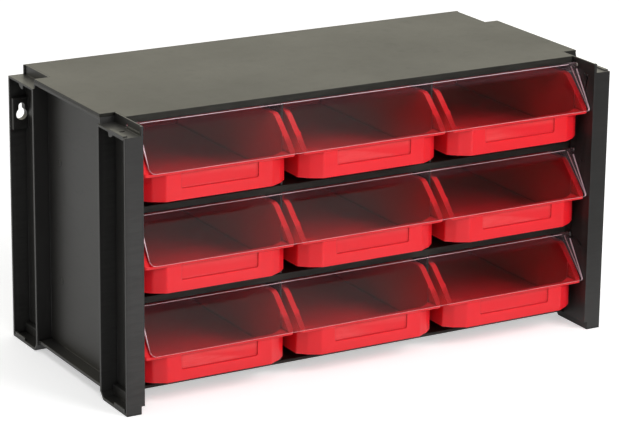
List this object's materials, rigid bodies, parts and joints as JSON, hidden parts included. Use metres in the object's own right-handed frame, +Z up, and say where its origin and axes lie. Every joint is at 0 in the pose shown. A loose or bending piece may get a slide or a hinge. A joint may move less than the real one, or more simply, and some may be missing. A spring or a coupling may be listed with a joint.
{
  "type": "parts bin cabinet",
  "caption": "Wide benchtop cabinet for small parts: pull-out bins in rows between two column frames, each row closed by one clear hinged flap.",
  "frame": {"origin": "centre of the footprint, on the floor under the feet", "axes": "+X to the right along the cabinet's width, +Y to the rear wall side, +Z up; the bins pull out towards -Y"},
  "size_m": [0.375, 0.18, 0.195],
  "materials": {
    "frame_plastic": "fine moulded satin",
    "panel_plastic": "fine moulded satin",
    "bin_red": "moulded semi-gloss",
    "flap_clear": "clear polished"
  },
  "bodies": {
    "cabinet": {"side_frame_left": "frame_plastic", "side_frame_right": "frame_plastic", "top_panel": "panel_plastic", "shelf_upper": "panel_plastic", "shelf_lower": "panel_plastic", "bottom_panel": "panel_plastic", "back_panel": "frame_plastic", "divider_r1_left": "frame_plastic", "divider_r1_right": "frame_plastic", "divider_r2_left": "frame_plastic", "divider_r2_right": "frame_plastic", "divider_r3_left": "frame_plastic", "divider_r3_right": "frame_plastic"},
    "bin_body_r1_c2": {"bin_r1_c2": "bin_red"},
    "bin_body_r1_c1": {"bin_r1_c1": "bin_red"},
    "bin_body_r1_c3": {"bin_r1_c3": "bin_red"},
    "flap_body_r1": {"flap_r1": "flap_clear"},
    "bin_body_r2_c2": {"bin_r2_c2": "bin_red"},
    "bin_body_r2_c1": {"bin_r2_c1": "bin_red"},
    "bin_body_r2_c3": {"bin_r2_c3": "bin_red"},
    "flap_body_r2": {"flap_r2": "flap_clear"},
    "bin_body_r3_c2": {"bin_r3_c2": "bin_red"},
    "bin_body_r3_c1": {"bin_r3_c1": "bin_red"},
    "bin_body_r3_c3": {"bin_r3_c3": "bin_red"},
    "flap_body_r3": {"flap_r3": "flap_clear"}
  },
  "joints": [
    {"name": "bin_r1_c2_slide", "type": "slide", "parent": "cabinet", "child": "bin_body_r1_c2", "axis": [0, -1, 0], "range_m": [0, 0.0395]},
    {"name": "bin_r1_c1_slide", "type": "slide", "parent": "cabinet", "child": "bin_body_r1_c1", "axis": [0, -1, 0], "range_m": [0, 0.0395]},
    {"name": "bin_r1_c3_slide", "type": "slide", "parent": "cabinet", "child": "bin_body_r1_c3", "axis": [0, -1, 0], "range_m": [0, 0.0395]},
    {"name": "flap_r1_hinge", "type": "hinge", "parent": "cabinet", "child": "flap_body_r1", "pos_m": [0, -0.0682, 0.1901], "axis": [-1, 0, 0], "range_deg": [0, 75]},
    {"name": "bin_r2_c2_slide", "type": "slide", "parent": "cabinet", "child": "bin_body_r2_c2", "axis": [0, -1, 0], "range_m": [0, 0.0395]},
    {"name": "bin_r2_c1_slide", "type": "slide", "parent": "cabinet", "child": "bin_body_r2_c1", "axis": [0, -1, 0], "range_m": [0, 0.0395]},
    {"name": "bin_r2_c3_slide", "type": "slide", "parent": "cabinet", "child": "bin_body_r2_c3", "axis": [0, -1, 0], "range_m": [0, 0.0395]},
    {"name": "flap_r2_hinge", "type": "hinge", "parent": "cabinet", "child": "flap_body_r2", "pos_m": [0, -0.0682, 0.128], "axis": [-1, 0, 0], "range_deg": [0, 75]},
    {"name": "bin_r3_c2_slide", "type": "slide", "parent": "cabinet", "child": "bin_body_r3_c2", "axis": [0, -1, 0], "range_m": [0, 0.0395]},
    {"name": "bin_r3_c1_slide", "type": "slide", "parent": "cabinet", "child": "bin_body_r3_c1", "axis": [0, -1, 0], "range_m": [0, 0.0395]},
    {"name": "bin_r3_c3_slide", "type": "slide", "parent": "cabinet", "child": "bin_body_r3_c3", "axis": [0, -1, 0], "range_m": [0, 0.0395]},
    {"name": "flap_r3_hinge", "type": "hinge", "parent": "cabinet", "child": "flap_body_r3", "pos_m": [0, -0.0682, 0.0659], "axis": [-1, 0, 0], "range_deg": [0, 75]}
  ],
  "couplings": [
    {"joint": "bin_r1_c1_slide", "follows": "bin_r1_c2_slide", "ratio": 1},
    {"joint": "bin_r1_c3_slide", "follows": "bin_r1_c2_slide", "ratio": 1},
    {"joint": "flap_r1_hinge", "follows": "bin_r1_c2_slide", "rad_per_m": 33},
    {"joint": "bin_r2_c1_slide", "follows": "bin_r2_c2_slide", "ratio": 1},
    {"joint": "bin_r2_c3_slide", "follows": "bin_r2_c2_slide", "ratio": 1},
    {"joint": "flap_r2_hinge", "follows": "bin_r2_c2_slide", "rad_per_m": 33},
    {"joint": "bin_r3_c1_slide", "follows": "bin_r3_c2_slide", "ratio": 1},
    {"joint": "bin_r3_c3_slide", "follows": "bin_r3_c2_slide", "ratio": 1},
    {"joint": "flap_r3_hinge", "follows": "bin_r3_c2_slide", "rad_per_m": 33}
  ]
}
